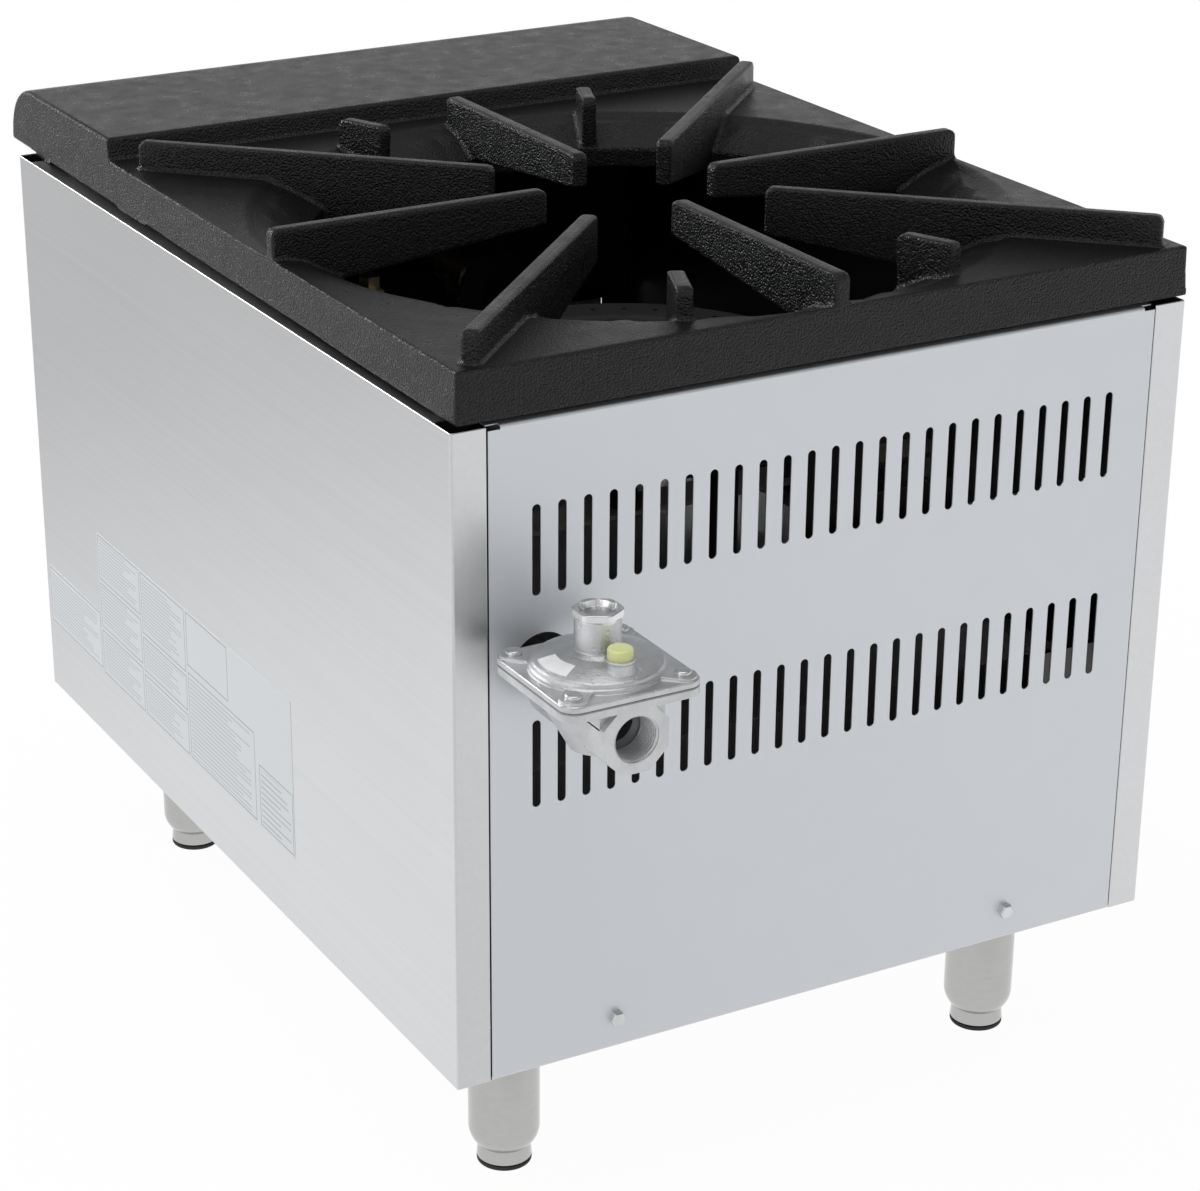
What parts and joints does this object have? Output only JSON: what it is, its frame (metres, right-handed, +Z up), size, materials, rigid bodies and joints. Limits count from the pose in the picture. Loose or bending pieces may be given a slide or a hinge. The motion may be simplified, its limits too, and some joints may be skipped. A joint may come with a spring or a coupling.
{
  "type": "stock pot range",
  "caption": "Floor-standing gas stock pot range: a square sheet-steel body on adjustable legs, a heavy cast grate top over ring burners, and a pressure regulator at the rear.",
  "frame": {"origin": "on the floor, under the middle of the whole range with its knobs and regulator", "axes": "+Z up; -Y towards the cook, on the side of the knobs and drip tray; +Y towards the wall and the gas inlet; +X to the right of someone who stands at the knobs"},
  "size_m": [0.4572, 0.7476, 0.5205],
  "materials": {
    "stainless": "brushed stainless sheet and tube",
    "aluminised_sheet": "matt aluminised sheet, faint rolling grain",
    "burner_bracket_steel": "plain steel strap",
    "cast_top_black": "satin black coat over a pebbled sand-cast skin",
    "burner_iron": "raw dark cast iron",
    "shutter_steel": "zinc plated",
    "black_pipe": "black malleable iron pipe",
    "valve_brass": "turned brass",
    "pilot_aluminium": "soft aluminium tube",
    "pilot_steel": "bright plated",
    "knob_black": "black phenolic with a white pointer",
    "bezel_aluminium": "brushed",
    "regulator_casting": "fine sand-cast aluminium",
    "regulator_cap_bright": "bright die cast",
    "gasket_black": "fibre and rubber sheet",
    "plug_yellow": "pale yellow translucent plastic",
    "zinc_screws": "zinc plated",
    "foot_rubber": "black rubber"
  },
  "bodies": {
    "range_frame": {"base_rail_front": "aluminised_sheet", "base_rail_rear": "aluminised_sheet", "bezel_inner": "bezel_aluminium", "bezel_outer": "bezel_aluminium", "burner_inner": "burner_iron", "burner_outer": "burner_iron", "burner_rail_front": "burner_bracket_steel", "burner_rail_middle": "burner_bracket_steel", "burner_rail_rear": "burner_bracket_steel", "control_panel": "stainless", "inlet_nipple": "black_pipe", "leg_bolts": "zinc_screws", "leg_front_left": "stainless", "leg_front_right": "stainless", "leg_rear_left": "stainless", "leg_rear_right": "stainless", "lower_front_panel": "stainless", "manifold_cap": "black_pipe", "manifold_elbow": "black_pipe", "manifold_pipe": "black_pipe", "orifice_hood_inner": "valve_brass", "orifice_hood_outer": "valve_brass", "pilot_burner": "pilot_steel", "pilot_tube": "pilot_aluminium", "pilot_valve": "valve_brass", "pipe_coupling": "black_pipe", "rear_panel": "aluminised_sheet", "rear_screws": "zinc_screws", "rear_stiffener": "aluminised_sheet", "regulator_body": "regulator_casting", "regulator_cap": "regulator_cap_bright", "regulator_cover": "regulator_casting", "regulator_gasket": "gasket_black", "regulator_screws": "zinc_screws", "side_panel_left": "stainless", "side_panel_right": "stainless", "supply_pipe": "black_pipe", "tray_runner_left": "aluminised_sheet", "tray_runner_right": "aluminised_sheet", "valve_inner": "valve_brass", "valve_outer": "valve_brass", "vent_plug": "plug_yellow"},
    "cast_top": {"cast_top": "cast_top_black", "grate_fingers": "cast_top_black"},
    "drip_tray": {"drip_tray": "stainless"},
    "knob_inner": {"knob_inner": "knob_black", "valve_stem_inner": "valve_brass"},
    "knob_outer": {"knob_outer": "knob_black", "valve_stem_outer": "valve_brass"},
    "air_shutter_inner": {"air_shutter_inner": "shutter_steel"},
    "air_shutter_outer": {"air_shutter_outer": "shutter_steel"},
    "foot_front_left": {"foot_front_left": "stainless", "foot_pad_front_left": "foot_rubber"},
    "foot_front_right": {"foot_front_right": "stainless", "foot_pad_front_right": "foot_rubber"},
    "foot_rear_left": {"foot_rear_left": "stainless", "foot_pad_rear_left": "foot_rubber"},
    "foot_rear_right": {"foot_rear_right": "stainless", "foot_pad_rear_right": "foot_rubber"}
  },
  "joints": [
    {"name": "cast_top_lift", "type": "slide", "parent": "range_frame", "child": "cast_top", "axis": [0, 0, 1], "range_m": [0, 0.12]},
    {"name": "drip_tray_slide", "type": "slide", "parent": "range_frame", "child": "drip_tray", "axis": [0, -1, 0], "range_m": [0, 0.3]},
    {"name": "knob_inner_turn", "type": "hinge", "parent": "range_frame", "child": "knob_inner", "pos_m": [-0.07, -0.34, 0.362], "axis": [0, -1, 0], "range_deg": [0, 90]},
    {"name": "air_shutter_inner_turn", "type": "hinge", "parent": "range_frame", "child": "air_shutter_inner", "pos_m": [-0.07, -0.247, 0.362], "axis": [0, 1, 0], "range_deg": [0, 45]},
    {"name": "knob_outer_turn", "type": "hinge", "parent": "range_frame", "child": "knob_outer", "pos_m": [0.07, -0.34, 0.362], "axis": [0, -1, 0], "range_deg": [0, 90]},
    {"name": "air_shutter_outer_turn", "type": "hinge", "parent": "range_frame", "child": "air_shutter_outer", "pos_m": [0.07, -0.247, 0.362], "axis": [0, 1, 0], "range_deg": [0, 45]},
    {"name": "foot_front_left_screw", "type": "slide", "parent": "range_frame", "child": "foot_front_left", "axis": [0, 0, -1], "range_m": [0, 0.02]},
    {"name": "foot_front_right_screw", "type": "slide", "parent": "range_frame", "child": "foot_front_right", "axis": [0, 0, -1], "range_m": [0, 0.02]},
    {"name": "foot_rear_left_screw", "type": "slide", "parent": "range_frame", "child": "foot_rear_left", "axis": [0, 0, -1], "range_m": [0, 0.02]},
    {"name": "foot_rear_right_screw", "type": "slide", "parent": "range_frame", "child": "foot_rear_right", "axis": [0, 0, -1], "range_m": [0, 0.02]}
  ]
}
